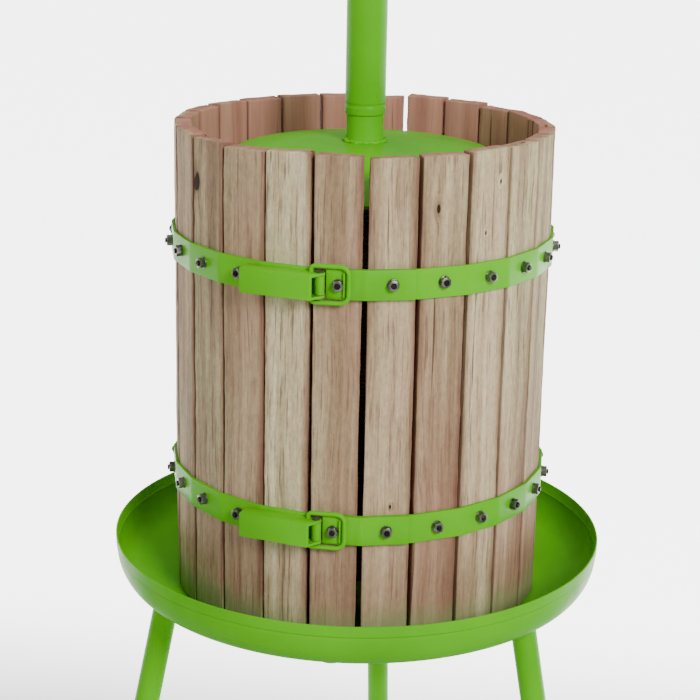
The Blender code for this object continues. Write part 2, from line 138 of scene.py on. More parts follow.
# %% Spin a section
def rounded(points, radii):
    """Rounds the numbered corners of a section; radii is {number: cut-back length}."""
    made = []
    for k, corner in enumerate(points):
        if k not in radii:
            made.append(corner)
            continue
        corner = Vector(corner)
        before, after = Vector(points[k - 1]), Vector(points[(k + 1) % len(points)])
        start = corner + (before - corner).normalized() * radii[k]
        end = corner + (after - corner).normalized() * radii[k]
        for step in range(6):
            t = step / 5
            made.append(tuple(start.lerp(corner, t).lerp(corner.lerp(end, t), t)))
    return made


def spin_section(points, steps=96, closed=None):
    """Extrudes one point along a section and spins the section round Z. A section
    that starts on the axis stays open there, and any other is closed unless told."""
    if closed is None:
        closed = points[0][0] > 0
    only()
    r, z = points[0]
    bpy.ops.mesh.primitive_plane_add(size=0.001, location=(r, 0, z))
    piece = bpy.context.object
    bpy.ops.object.mode_set(mode="EDIT")
    bpy.ops.mesh.select_mode(type="VERT")
    bpy.ops.mesh.merge(type="CENTER")
    for next_r, next_z in points[1:] + ([points[0]] if closed else []):
        bpy.ops.mesh.extrude_region_move(
            TRANSFORM_OT_translate={"value": (next_r - r, 0, next_z - z)})
        r, z = next_r, next_z
    bpy.ops.mesh.select_all(action="SELECT")
    bpy.ops.mesh.remove_doubles(threshold=1e-7)
    bpy.ops.mesh.spin(steps=steps, angle=2 * math.pi, center=(0, 0, 0), axis=(0, 0, 1))
    close_up(piece)
    bpy.ops.object.transform_apply(location=True, rotation=True, scale=True)
    return piece


# %% [markdown]
# A place on the basket is easiest to give on the flat face of a stave: u along the
# face to the right, w outwards from the axis, and the height. The azimuth says how
# far round the stave stands, from the front towards the right.

# %% Places round the basket
PITCH = math.radians(15)         # from one stave to the next
FACE = -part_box("stave_right_01")[0].y
UPPER, LOWER = ((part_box(f"band_left_{level}")[0].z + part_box(f"band_left_{level}")[1].z) / 2
                for level in ("upper", "lower"))
LEVELS = {"upper": UPPER, "lower": LOWER}


def at_face(azimuth, u, w, z):
    c, s = math.cos(azimuth), math.sin(azimuth)
    return Vector((u * c + w * s, u * s - w * c, z))


print("stave faces at", round(FACE, 4), "bands at", round(UPPER, 4), round(LOWER, 4))

# %% [markdown]
# Each finished piece has its place put into its mesh, gets its material, and is hung
# on the empty of the body that it rides on, and the CAD nodes that it stands for are
# hidden.

# %% Finish a piece
def settle(piece, name, body, slot, finish, *nodes):
    only(piece)
    bpy.ops.object.transform_apply(location=True, rotation=True, scale=True)
    piece.name = piece.data.name = name
    if finish:
        piece.data.materials.clear()
        piece.data.materials.append(finish)
    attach(piece, body)
    if nodes:
        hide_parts(*nodes)
    solid = bmesh.new()
    solid.from_mesh(piece.data)
    loose = sum(not e.is_manifold for e in solid.edges)
    print(f"{name}: {len(piece.data.polygons)} faces, {loose} open edges")
    solid.free()
    return piece


def twin(piece):
    """A copy with its own mesh."""
    only(piece)
    bpy.ops.object.duplicate(linked=False)
    return bpy.context.object


def copy_node(node):
    """A merged copy of a CAD node, with its flat faces made whole again."""
    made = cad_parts[node].copy()
    made.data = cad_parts[node].data.copy()
    bpy.context.scene.collection.objects.link(made)
    made.parent = None
    for key in list(made.keys()):
        del made[key]
    edit(made)
    bpy.ops.mesh.select_all(action="SELECT")
    bpy.ops.mesh.remove_doubles(threshold=1e-6)
    bpy.ops.mesh.dissolve_limited(angle_limit=math.radians(1))
    only(made)
    return made


# %% [markdown]
# ## Camera, floor and light
#
# The camera stands a little to the right of the front and looks down at the basket
# with a short telephoto lens. A pale floor and large soft lights give the even light
# of a product picture.

# %% Camera
CAMERA_AWAY, CAMERA_HEIGHT = 1.86, 1.1975
CAMERA_ROUND = math.radians(6.6)
CAMERA_ASIDE, CAMERA_DOWN, CAMERA_ROLL = (math.radians(d) for d in (0.345, 16.71, 1.08))

bpy.ops.object.camera_add()
camera = bpy.context.object
camera.name = "front_camera"
camera.data.sensor_width = 36
camera.data.lens = 91.7
place = Matrix.Translation(at_face(CAMERA_ROUND, 0, CAMERA_AWAY, CAMERA_HEIGHT))
turn = (Matrix.Rotation(CAMERA_ROUND + CAMERA_ASIDE, 4, "Z")
        @ Matrix.Rotation(math.pi / 2 - CAMERA_DOWN, 4, "X")
        @ Matrix.Rotation(CAMERA_ROLL, 4, "Z"))
camera.matrix_world = place @ turn
bpy.context.scene.camera = camera
print("camera at", [round(v, 3) for v in camera.location])

# %% Floor, world and lights
only()
bpy.ops.mesh.primitive_plane_add(size=60, location=(0, 0, 0))
floor = bpy.context.object
floor.name = "pale_floor"
floor_paint = bpy.data.materials.new("matt_white_paper")
floor_paint.use_nodes = True
floor_shader = floor_paint.node_tree.nodes["Principled BSDF"]
floor_shader.inputs["Base Color"].default_value = (0.72, 0.72, 0.72, 1)
floor_shader.inputs["Roughness"].default_value = 0.9
floor_shader.inputs["Emission Color"].default_value = (1.0, 1.0, 1.0, 1)
nodes, links = floor_paint.node_tree.nodes, floor_paint.node_tree.links
behind = nodes.new("ShaderNodeSeparateXYZ")
links.new(nodes.new("ShaderNodeTexCoord").outputs["Object"], behind.inputs[0])
glow = nodes.new("ShaderNodeMapRange")
glow.interpolation_type = "SMOOTHSTEP"
for socket, value in (("From Min", 0.05), ("From Max", 0.75), ("To Min", 0.0), ("To Max", 5.0)):
    glow.inputs[socket].default_value = value
links.new(behind.outputs["Y"], glow.inputs["Value"])
links.new(glow.outputs[0], floor_shader.inputs["Emission Strength"])
floor.data.materials.append(floor_paint)

world = bpy.data.worlds.new("pale_room")
bpy.context.scene.world = world
world.use_nodes = True
world.node_tree.nodes["Background"].inputs["Color"].default_value = (1.0, 1.0, 1.0, 1)
world.node_tree.nodes["Background"].inputs["Strength"].default_value = 0.34


def soft_light(name, place, aim, size, watts):
    bpy.ops.object.light_add(type="AREA", location=place)
    light = bpy.context.object
    light.name = name
    light.data.shape = "DISK"
    light.data.size = size
    light.data.energy = watts
    light.rotation_euler = (Vector(aim) - Vector(place)).to_track_quat("-Z", "Y").to_euler()
    return light


soft_light("key_light", (1.7, -2.5, 2.3), (0, 0, 0.75), 1.2, 122)
soft_light("fill_light", (-2.2, -2.2, 1.7), (0, 0, 0.6), 1.4, 20)
soft_light("top_light", (-0.3, 0.5, 3.3), (0, 0.1, 0.6), 1.8, 32)

# %% [markdown]
# ## Materials
#
# Colours are written as the sRGB hex values that one would pick by eye, and one
# function turns them into the linear values that a shader works with. A second one
# adds a node with its settings and links, so that a material reads as a list.

# %% Colour and node helpers
def linear(code, alpha=1.0):
    parts = [int(code[k:k + 2], 16) / 255 for k in (1, 3, 5)]
    return (*(c / 12.92 if c <= 0.04045 else ((c + 0.055) / 1.055) ** 2.4
              for c in parts), alpha)


def add(tree, kind, inputs=None, stops=None, **settings):
    """Adds a node. inputs gives sockets a value or a link, stops a ramp's colours."""
    made = tree.nodes.new(kind)
    for name, value in settings.items():
        setattr(made, name, value)
    for name, value in (inputs or {}).items():
        if isinstance(value, bpy.types.NodeSocket):
            tree.links.new(value, made.inputs[name])
        else:
            made.inputs[name].default_value = value
    if stops:
        ramp = made.color_ramp.elements
        while len(ramp) < len(stops):
            ramp.new(0.5)
        for element, (at, colour) in zip(ramp, stops):
            element.position, element.color = at, colour
    return made


def mix(tree, factor, a, b, blend="MIX"):
    """The colour output of a Mix node."""
    return add(tree, "ShaderNodeMix", {0: factor, 6: a, 7: b}, data_type="RGBA",
               blend_type=blend).outputs[2]


def grey(value):
    return (value, value, value, 1)


def new_material(name, **constants):
    """A material with its Principled shader's constant sockets set."""
    made = bpy.data.materials.new(name)
    made.use_nodes = True
    shader = made.node_tree.nodes["Principled BSDF"]
    for socket, value in constants.items():
        shader.inputs[socket.replace("_", " ")].default_value = value
    return made, made.node_tree, shader


def noise(tree, vector, size_mm, detail=3.0, roughness=0.5, distortion=0.0):
    """A noise whose lumps are about this big."""
    return add(tree, "ShaderNodeTexNoise", {
        "Vector": vector, "Scale": 1000 / size_mm / 2, "Detail": detail,
        "Roughness": roughness, "Distortion": distortion}).outputs["Fac"]


# %% [markdown]
# ### Gloss enamel
#
# The steel is sprayed with a thick alkyd gloss enamel. The eye sees a bright, even
# yellow-green, a soft clear reflection, a faint orange peel from the spray, and long
# lazy waves where the thin sheet under it was spun and bent. Orange peel is about
# 1.5 mm across on the real thing; it is drawn at 4 mm, so that it shows.

# %% Green enamel
enamel, tree, shader = new_material(
    "green_gloss_enamel", Metallic=0.0, IOR=1.45, Specular_IOR_Level=0.10,
    Coat_Weight=0.04, Coat_Roughness=0.12, Coat_IOR=1.4)
place = add(tree, "ShaderNodeTexCoord").outputs["Object"]
cloud = noise(tree, place, 70, detail=4)
tint = add(tree, "ShaderNodeValToRGB", {"Fac": cloud}, stops=[
    (0.30, linear("#4FA508")), (0.52, linear("#59B20A")), (0.75, linear("#64BF10"))])
dust = noise(tree, place, 5, detail=6, roughness=0.7)
specks = add(tree, "ShaderNodeMapRange", {"Value": dust, "From Min": 0.66, "From Max": 0.80,
                                          "To Min": 0.0, "To Max": 0.35}).outputs[0]
colour = mix(tree, specks, tint.outputs["Color"], linear("#3F7A10"))
tree.links.new(colour, shader.inputs["Base Color"])
rough = add(tree, "ShaderNodeMapRange", {"Value": noise(tree, place, 22, detail=5),
            "From Min": 0.3, "From Max": 0.7, "To Min": 0.30, "To Max": 0.48}).outputs[0]
tree.links.new(rough, shader.inputs["Roughness"])
peel = add(tree, "ShaderNodeBump", {"Height": noise(tree, place, 4, detail=1),
                                    "Strength": 0.10, "Distance": 0.0004})
waves = add(tree, "ShaderNodeBump", {"Height": noise(tree, place, 45, detail=1),
            "Strength": 0.5, "Distance": 0.005, "Normal": peel.outputs["Normal"]})
tree.links.new(waves.outputs["Normal"], shader.inputs["Normal"])
tree.links.new(peel.outputs["Normal"], shader.inputs["Coat Normal"])
print("enamel has", len(tree.nodes), "nodes")

# %% [markdown]
# ### Sawn hardwood
#
# The staves are raw, sawn and lightly planed hardwood that has been soaked with grape
# juice. Pale and brown streaks run along the grain, fine dark pores lie in them, wine
# has stained the inside red, the side edges beside the slits are dark brown, part wine
# stain and part painted shade of the slits, and the feet have gone grey-green from
# standing in the basin. Each stave carries its own (u, w, z) coordinates in the
# attribute "grain", so the pattern follows the stave, and "stave" holds a random
# number, how pale the stave is, and how red.
#
# Streaks are 6 to 12 mm wide and 20 to 40 times as long. The pores are about 0.3 mm
# wide on the real wood and are drawn at 1.5 mm.

# %% Knots
KNOTS = [                            # azimuth in degrees, u, height, radius
    (-45, -0.0160, 0.8450, 0.0042),
    (-45, -0.0190, 0.8420, 0.0034),
    (30, -0.0071, 0.8375, 0.0020),
    (45, -0.0043, 0.8088, 0.0010),
    (45, 0.0130, 0.8580, 0.0011),
    (15, 0.0040, 0.5350, 0.0010),
    (-90, 0.0060, 0.6400, 0.0040),
    (135, -0.0100, 0.7000, 0.0045),
    (-150, 0.0080, 0.5000, 0.0038),
]


def knot_distance(tree, place):
    """How far a point is from the nearest knot, in knot radii, squashed upright."""
    nearest = 9.0
    for degrees, u, z, radius in KNOTS:
        centre = at_face(math.radians(degrees), u, FACE, z)
        away = add(tree, "ShaderNodeVectorMath", {0: place, 1: centre},
                   operation="SUBTRACT").outputs[0]
        scaled = add(tree, "ShaderNodeVectorMath", {
            0: away, 1: (1 / radius, 1 / radius, 0.45 / radius)}, operation="MULTIPLY")
        length = add(tree, "ShaderNodeVectorMath", {0: scaled.outputs[0]},
                     operation="LENGTH").outputs["Value"]
        nearest = add(tree, "ShaderNodeMath", {0: length, 1: nearest},
                      operation="MINIMUM").outputs[0]
    return nearest


# %% Stave wood
wood, tree, shader = new_material("sawn_hardwood_stained", Metallic=0.0, IOR=1.45,
                                  Specular_IOR_Level=0.15)
place = add(tree, "ShaderNodeTexCoord").outputs["Object"]
grain = add(tree, "ShaderNodeAttribute", attribute_name="grain").outputs["Vector"]
stave = add(tree, "ShaderNodeSeparateXYZ", {"Vector": add(
    tree, "ShaderNodeAttribute", attribute_name="stave").outputs["Vector"]}).outputs
uwz = add(tree, "ShaderNodeSeparateXYZ", {"Vector": grain}).outputs
shift = add(tree, "ShaderNodeCombineXYZ", {"X": stave["X"], "Y": stave["X"],
                                           "Z": stave["X"]}).outputs[0]
own = add(tree, "ShaderNodeVectorMath", {0: grain, 1: shift}, operation="ADD").outputs[0]
near_knot = knot_distance(tree, place)
bulge = add(tree, "ShaderNodeMapRange", {"Value": near_knot, "From Min": 1.0, "From Max": 4.0,
            "To Min": 0.004, "To Max": 0.0}).outputs[0]
swirl = add(tree, "ShaderNodeCombineXYZ", {"X": bulge, "Y": bulge}).outputs[0]
own = add(tree, "ShaderNodeVectorMath", {0: own, 1: swirl}, operation="ADD").outputs[0]
wander = add(tree, "ShaderNodeTexNoise", {"Vector": own, "Scale": 5.0, "Detail": 1.0})
own = add(tree, "ShaderNodeVectorMath", {0: wander.outputs["Color"], 1: (0.012, 0.012, 0.0),
                                         2: own}, operation="MULTIPLY_ADD").outputs[0]


def along(stretch):
    """The stave's own coordinates, drawn out along the grain."""
    return add(tree, "ShaderNodeMapping", {"Vector": own,
               "Scale": (1, 1, 1 / stretch)}).outputs[0]


streaks = noise(tree, along(30), 9, detail=4, roughness=0.6)
pale = add(tree, "ShaderNodeMath", {0: stave["Y"], 1: 0.26, 2: streaks},
           operation="MULTIPLY_ADD").outputs[0]
body = add(tree, "ShaderNodeValToRGB", {"Fac": pale}, stops=[
    (0.24, linear("#655640")), (0.40, linear("#8F7E5E")), (0.52, linear("#A89875")),
    (0.66, linear("#C2B48C")), (0.85, linear("#E0D5B0"))]).outputs["Color"]

# %% Pores, wine stains, painted shade beside the slits and damp feet
pores = noise(tree, along(22), 1.5, detail=2, roughness=0.7)
pore_mask = add(tree, "ShaderNodeMapRange", {"Value": pores, "From Min": 0.53,
                "From Max": 0.70, "To Min": 0.0, "To Max": 0.7}).outputs[0]
body = mix(tree, pore_mask, body, linear("#5E4330"))
fuzz = noise(tree, along(2.5), 1.8, detail=4, roughness=0.75)
fuzz = add(tree, "ShaderNodeMapRange", {"Value": fuzz, "From Min": 0.35, "From Max": 0.65,
           "To Min": 0.80, "To Max": 1.16}).outputs[0]
body = add(tree, "ShaderNodeVectorMath", {0: body, "Scale": fuzz},
           operation="SCALE").outputs[0]

# Dark brown along the side edges of each stave, beside the slits: part wine stain, part painted
# shade of the slits.
edge = add(tree, "ShaderNodeMath", {0: add(
    tree, "ShaderNodeMath", {0: uwz["X"], 1: 0.0014}, operation="ADD").outputs[0]},
    operation="ABSOLUTE").outputs[0]
rag = noise(tree, along(8), 14, detail=4)
edge = add(tree, "ShaderNodeMath", {0: rag, 1: 0.016, 2: edge},
           operation="MULTIPLY_ADD").outputs[0]
stain_and_slit_shade_mask = add(tree, "ShaderNodeMapRange", {"Value": edge, "From Min": 0.0275,
                "From Max": 0.0345, "To Min": 0.0, "To Max": 0.75}).outputs[0]
inside = add(tree, "ShaderNodeMapRange", {"Value": uwz["Y"], "From Min": 0.197,
             "From Max": 0.190, "To Min": 0.0, "To Max": 0.7}).outputs[0]
blotch = noise(tree, along(3), 60, detail=3)
blotch = add(tree, "ShaderNodeMath", {0: stave["Z"], 1: 0.34, 2: blotch},
             operation="MULTIPLY_ADD").outputs[0]
low_down = add(tree, "ShaderNodeMapRange", {"Value": uwz["Z"], "From Min": 0.56,
               "From Max": 0.44, "To Min": 0.0, "To Max": 0.16}).outputs[0]
blotch = add(tree, "ShaderNodeMath", {0: blotch, 1: low_down}, operation="ADD").outputs[0]
blotch_mask = add(tree, "ShaderNodeMapRange", {"Value": blotch, "From Min": 0.42,
                  "From Max": 0.78, "To Min": 0.0, "To Max": 0.55}).outputs[0]
stain = add(tree, "ShaderNodeMath", {0: blotch_mask, 1: inside}, operation="ADD",
            use_clamp=True).outputs[0]
body = mix(tree, stain, body, mix(tree, streaks, linear("#74392F"), linear("#CC9883")))
# The dark brown goes in at the side edges: wine stain with painted shade of the slits.
body = mix(tree, stain_and_slit_shade_mask, body, linear("#6B4233"))

damp_line = add(tree, "ShaderNodeMath", {0: rag, 1: 0.05, 2: uwz["Z"]},
                operation="MULTIPLY_ADD").outputs[0]
damp = add(tree, "ShaderNodeMapRange", {"Value": damp_line, "From Min": 0.453,
           "From Max": 0.427, "To Min": 0.0, "To Max": 0.6}).outputs[0]
body = mix(tree, damp, body, linear("#6F8552"))

# %% Shakes, the thin cracks that open along the grain as the wood dries
shakes = noise(tree, along(60), 5, detail=2, roughness=0.4)
crack = add(tree, "ShaderNodeMapRange", {"Value": shakes, "From Min": 0.690,
            "From Max": 0.715, "To Min": 0.0, "To Max": 0.75}).outputs[0]
body = mix(tree, crack, body, linear("#3A2416"))

# %% Knots in the wood, its roughness and its relief
knot_rings = add(tree, "ShaderNodeValToRGB", {"Fac": add(
    tree, "ShaderNodeMath", {0: near_knot, 1: 0.4}, operation="MULTIPLY").outputs[0]}, stops=[
    (0.0, grey(1.0)), (0.36, grey(1.0)), (0.42, grey(0.35)), (0.60, grey(0.12)),
    (1.0, grey(0.0))]).outputs["Color"]
body = mix(tree, knot_rings, body, linear("#2E1C10"))
tree.links.new(body, shader.inputs["Base Color"])
tree.links.new(add(tree, "ShaderNodeMapRange", {"Value": streaks, "To Min": 0.62,
               "To Max": 0.88}).outputs[0], shader.inputs["Roughness"])
relief = add(tree, "ShaderNodeBump", {"Height": streaks, "Strength": 0.5,
                                      "Distance": 0.0015})
relief = add(tree, "ShaderNodeBump", {"Height": pore_mask, "Strength": 0.45,
             "Distance": 0.0008, "Normal": relief.outputs["Normal"]}, invert=True)
tree.links.new(relief.outputs["Normal"], shader.inputs["Normal"])
print("wood has", len(tree.nodes), "nodes")

# %% [markdown]
# ### Plated steel, oiled steel and rubber
#
# Nuts and washers are zinc-plated: a light, slightly warm grey metal, dulled in
# patches. The thread ends and the screw are darker, with oil and grape must on them.
# Grips and feet are moulded black rubber, matt and a little dusty.

# %% Metals and rubber
def metal(name, light, dark, low, high, patch_mm):
    made, tree, shader = new_material(name, Metallic=1.0)
    place = add(tree, "ShaderNodeTexCoord").outputs["Object"]
    patches = noise(tree, place, patch_mm, detail=5, roughness=0.65)
    ramp = add(tree, "ShaderNodeValToRGB", {"Fac": patches}, stops=[
        (0.32, linear(dark)), (0.62, linear(light))])
    tree.links.new(ramp.outputs["Color"], shader.inputs["Base Color"])
    rough = add(tree, "ShaderNodeMapRange", {"Value": patches, "From Min": 0.3,
                "From Max": 0.7, "To Min": high, "To Max": low})
    tree.links.new(rough.outputs[0], shader.inputs["Roughness"])
    bump = add(tree, "ShaderNodeBump", {"Height": noise(tree, place, patch_mm / 4),
                                        "Strength": 0.2, "Distance": 0.0002})
    tree.links.new(bump.outputs["Normal"], shader.inputs["Normal"])
    return made


zinc = metal("zinc_plated_steel", "#86857B", "#45443C", 0.3, 0.5, 4)
dark_steel = metal("oiled_thread_steel", "#34332E", "#141311", 0.4, 0.6, 4)
screw_steel = metal("greased_screw_steel", "#57534A", "#1C1A16", 0.35, 0.6, 25)

rubber, tree, shader = new_material("moulded_black_rubber", Metallic=0.0, IOR=1.52,
                                    Specular_IOR_Level=0.35)
place = add(tree, "ShaderNodeTexCoord").outputs["Object"]
bloom = noise(tree, place, 12, detail=6, roughness=0.7)
ramp = add(tree, "ShaderNodeValToRGB", {"Fac": bloom}, stops=[
    (0.35, linear("#1B1B1B")), (0.75, linear("#2E2D2B"))])
tree.links.new(ramp.outputs["Color"], shader.inputs["Base Color"])
tree.links.new(add(tree, "ShaderNodeMapRange", {"Value": bloom, "To Min": 0.55,
               "To Max": 0.85}).outputs[0], shader.inputs["Roughness"])
bump = add(tree, "ShaderNodeBump", {"Height": noise(tree, place, 1.5, detail=2),
                                    "Strength": 0.15, "Distance": 0.0003})
tree.links.new(bump.outputs["Normal"], shader.inputs["Normal"])
print("materials:", len(bpy.data.materials))

# %% [markdown]
# ## The staves
#
# A stave is a sawn slat with slanting sides. One is made from a cube: the inner face
# is made narrower, the corners are eased with a bevel, and the faces are cut into
# strips so that they can be bent out of true. Then it is copied 24 times. Each copy
# is made a little wider or narrower, since the slits on the real basket differ,
# its saw cut is tilted, and a clouds texture moves the wood by a few tenths of a
# millimetre, more at the corners, which are worn.

# %% One stave
stave_low, stave_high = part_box("stave_right_01")
HALF_WIDTH = FACE * math.tan(PITCH / 2)         # to the middle of a slit
MODEL_SLIT = 2 * (HALF_WIDTH - stave_high.x)
middle = (stave_low + stave_high) / 2

only()
bpy.ops.mesh.primitive_cube_add(size=1, location=middle, scale=stave_high - stave_low)
pattern = bpy.context.object
bpy.ops.object.transform_apply(location=True, rotation=True, scale=True)
edit(pattern)
pick("VERT", lambda v: v.co.y > middle.y)
narrower = 1 - (stave_high.y - stave_low.y) * math.tan(PITCH / 2) / stave_high.x
bpy.ops.transform.resize(value=(narrower, 1, 1), center_override=(0, 0, 0))
bpy.ops.mesh.select_all(action="SELECT")
bpy.ops.mesh.bevel(offset=0.0014, segments=3, affect="EDGES")
pick("EDGE", lambda e: abs(run_of(e).z) > 0.99 and e.calc_length() > 0.3)
bpy.ops.mesh.subdivide(number_cuts=36)
pick("EDGE", lambda e: abs(run_of(e).x) > 0.99 and e.calc_length() > 0.03)
bpy.ops.mesh.subdivide(number_cuts=5)
close_up(pattern)
own_place = [c for v in pattern.data.vertices for c in (v.co.x, -v.co.y, v.co.z)]
pattern.data.attributes.new("grain", "FLOAT_VECTOR", "POINT").data.foreach_set(
    "vector", own_place)
print("one stave has", len(pattern.data.polygons), "faces")

# %% Two textures that bend and wear the wood
warp = bpy.data.textures.new("stave_warp", "CLOUDS")
warp.noise_scale = 0.09
wear = bpy.data.textures.new("edge_wear", "CLOUDS")
wear.noise_scale = 0.012
wear.noise_depth = 3

# %% [markdown]
# The slits are listed by the azimuth of the boundary between two staves. The front
# ones are the easiest to see: the widest is just right of the latches. The colours of
# the front staves differ too, so each has how pale and how red it is.

# %% Slits and tones, by azimuth in degrees
SLITS = {-67.5: 2.4, -52.5: 2.4, -37.5: 2.4, -22.5: 1.8, -7.5: 3.8, 7.5: 5.2, 22.5: 3.6,
         37.5: 3.4, 52.5: 3.0, 67.5: 3.0, 172.5: 7.0, 157.5: 3.0, 187.5: 3.6, 202.5: 3.2}
TONES = {-75: (0.0, 0.4), -60: (0.15, 0.15), -45: (0.05, 0.05), -30: (-0.1, 0.1),
         -15: (0.55, 0.0), 0: (-0.05, 0.25), 15: (0.2, 0.1), 30: (0.05, 0.35),
         45: (0.45, 0.0), 60: (0.4, 0.05), 75: (0.35, 0.2), 90: (0.2, 0.4),
         165: (0.25, 0.9), 150: (0.2, 0.95), 135: (0.5, 0.4), 120: (-0.1, 0.95),
         180: (0.4, 0.8), -165: (0.2, 0.9), -150: (0.6, 0.5), -135: (0.2, 0.8),
         -120: (0.7, 0.4), -105: (0.5, 0.5)}


ASIDE = {-52.5: 0.0018, -37.5: 0.0018, -22.5: 0.0024}      # slits that are off their place


def slit_at(degrees):
    return SLITS.get(degrees, SLITS.get(degrees + 360, 2.6)) / 1000


# %% Copy, fit and wear the staves
rnd = random.Random(24)
for side, body, sign in (("left", "left_half_basket", -1), ("right", "root", 1)):
    for k in range(12):
        degrees = -15 * (k + 1) if side == "left" else 15 * k
        piece = twin(pattern)
        edit(piece)
        for way in (-1, 1):
            change = (MODEL_SLIT - slit_at(degrees + way * 7.5)) / 2
            aside = ASIDE.get(degrees + way * 7.5, 0)
            pick("VERT", lambda v: v.co.x * way > 0.5 * stave_high.x)
            bpy.ops.transform.translate(value=(way * change + aside, 0, 0))
        pick("VERT", lambda v: v.co.z > stave_high.z - 0.004)
        bpy.ops.transform.translate(value=(0, 0, rnd.uniform(-0.0022, 0.0016)))
        bpy.ops.transform.rotate(value=rnd.uniform(-0.035, 0.035), orient_axis="Y",
                                 center_override=(0, stave_low.y, stave_high.z))
        bpy.ops.transform.rotate(value=rnd.uniform(-0.06, 0.06), orient_axis="X",
                                 center_override=(0, middle.y, stave_high.z))
        only(piece)
        piece.rotation_euler.z = math.radians(degrees)
        bpy.ops.object.transform_apply(location=True, rotation=True, scale=True)
        corners = piece.vertex_groups.new(name="corners")
        near = [v.index for v, p in zip(piece.data.vertices, own_place[0::3])
                if abs(p) > 0.0195 or v.co.z > stave_high.z - 0.006]
        corners.add(near, 1.0, "REPLACE")
        apply_modifier(piece, "DISPLACE", texture=warp, texture_coords="GLOBAL",
                       strength=0.0016, mid_level=0.5)
        apply_modifier(piece, "DISPLACE", texture=wear, texture_coords="GLOBAL",
                       strength=0.0018, mid_level=0.62, vertex_group="corners")
        piece.vertex_groups.clear()
        paleness, redness = TONES.get(degrees, (rnd.uniform(-0.2, 0.4), rnd.uniform(0.2, 0.8)))
        values = (rnd.uniform(0, 9), paleness, redness) * len(piece.data.vertices)
        piece.data.attributes.new("stave", "FLOAT_VECTOR", "POINT").data.foreach_set(
            "vector", values)
        settle(close_up(piece, 50), f"sawn_stave_{side}_{k + 1:02d}", body, "staves", wood,
               f"stave_{side}_{k + 1:02d}")
bpy.data.objects.remove(pattern, do_unlink=True)
print("24 staves, slits", min(SLITS.values()), "to", max(SLITS.values()), "mm")

# %% [markdown]
# ## The bands, keepers and levers
#
# These are flat bar and folded sheet. Their CAD solids have the right outline but
# knife-sharp corners, which no enamelled steel has. A copy of each is merged, its
# bends are rounded, and then all its edges get a small bevel that catches the light.

# %% Ease the edges of a CAD copy
def eased(node, edge_radius, bend_radius=0.0, long=0.0):
    """A copy of a CAD node with rounded bends (upright edges of at least this length
    that turn by one stave) and bevelled edges."""
    piece = copy_node(node)
    edit(piece)
    if bend_radius:
        pick("EDGE", lambda e: not sharp(e, 20) and sharp(e, 10)
             and abs(run_of(e).z) > 0.99 and e.calc_length() > long)
        bpy.ops.mesh.bevel(offset=bend_radius, segments=4, affect="EDGES",
                           clamp_overlap=True)
    pick("EDGE", lambda e: sharp(e, 50))
    bpy.ops.mesh.bevel(offset=edge_radius, segments=2, affect="EDGES", clamp_overlap=True)
    bpy.ops.mesh.select_all(action="SELECT")
    bpy.ops.mesh.quads_convert_to_tris()
    return close_up(piece, 30)


for level in LEVELS:
    settle(eased(f"band_left_{level}", 0.0005, 0.003, 0.029), f"bent_band_left_{level}",
           "left_half_basket", "green_paint", enamel, f"band_left_{level}")
    settle(eased(f"band_right_{level}", 0.0005, 0.003, 0.029), f"bent_band_right_{level}",
           "root", "green_paint", enamel, f"band_right_{level}")
    settle(eased(f"latch_keeper_{level}", 0.0005, 0.003, 0.029), f"keeper_strip_{level}",
           "root", "green_paint", enamel, f"latch_keeper_{level}")
    settle(eased(f"latch_lever_{level}", 0.0009), f"folded_lever_{level}",
           f"{level}_lever", "green_paint", enamel, f"latch_lever_{level}")
print("bands, keepers and levers eased")

# %% [markdown]
# ## The latch loops
#
# A loop is a round bar bent into a U whose ends turn in and sit in the lever's ears.
# It is made as the bar is bent: a disc is pulled straight, then spun round each bend.

# %% Bend the loops
LOOP_PIVOT = (0.0294, 0.2064)        # (u, w) of the turned-in ends, -15 degree stave
CROSSBAR = (0.0118, 0.2077)          # (u, w) of the crossbar, 0 degree stave
BAR_R, LOOP_HALF, LOOP_END = 0.0023, 0.0181, 0.0098


def bend_bar(start, heading, axis, legs, radius):
    """Pulls a disc along the legs, (length between corners, bend radius at the end)."""
    only()
    bpy.ops.mesh.primitive_circle_add(vertices=20, radius=radius, fill_type="NGON",
                                      location=start)
    bar = bpy.context.object
    edit(bar)
    bpy.ops.mesh.select_all(action="SELECT")
    at, before = start, 0.0
    for length, bend in legs:
        run = heading * (length - before - bend)
        bpy.ops.mesh.extrude_region_move(TRANSFORM_OT_translate={"value": run})
        at = at + run
        if bend:
            turned = Matrix.Rotation(math.pi / 2, 3, axis) @ heading
            bpy.ops.mesh.spin(steps=7, angle=-math.pi / 2, center=at + turned * bend,
                              axis=axis, use_auto_merge=False)
            at, heading = at + (turned + heading) * bend, turned
        before = bend
    return close_up(bar, 40)


for level, height in LEVELS.items():
    pivot = at_face(-PITCH, *LOOP_PIVOT, height)
    across = at_face(0, *CROSSBAR, height) - pivot
    tip = LOOP_HALF - LOOP_END
    legs = [(tip, 0.004), (across.length, 0.0085), (2 * LOOP_HALF, 0.0085),
            (across.length, 0.004), (tip, 0)]
    up = Vector((0, 0, 1))
    loop = bend_bar(pivot + up * LOOP_END, up, up.cross(across.normalized()), legs, BAR_R)
    settle(loop, f"bent_loop_{level}", f"{level}_loop", "green_paint", enamel,
           f"latch_loop_{level}")

# %% [markdown]
# ## Bolts
#
# Every stave is held to each band by an M6 coach bolt: a domed head inside, a washer
# and a hexagon nut outside, and a few millimetres of dark thread standing out. One
# set is made pointing up, laid on its side, and copied to every stave.

# %% One bolt set
NUT_FLATS, NUT_HEIGHT, WASHER = 0.0100, 0.0050, 0.0012
THREAD_R, THREAD_PITCH, THREAD_TOP = 0.0030, 0.0010, 0.0080
HEAD_R, HEAD_DOME = 0.0065, 0.0032
GRIP = FACE - 0.181 + 0.0034         # from the band's outer face to the head

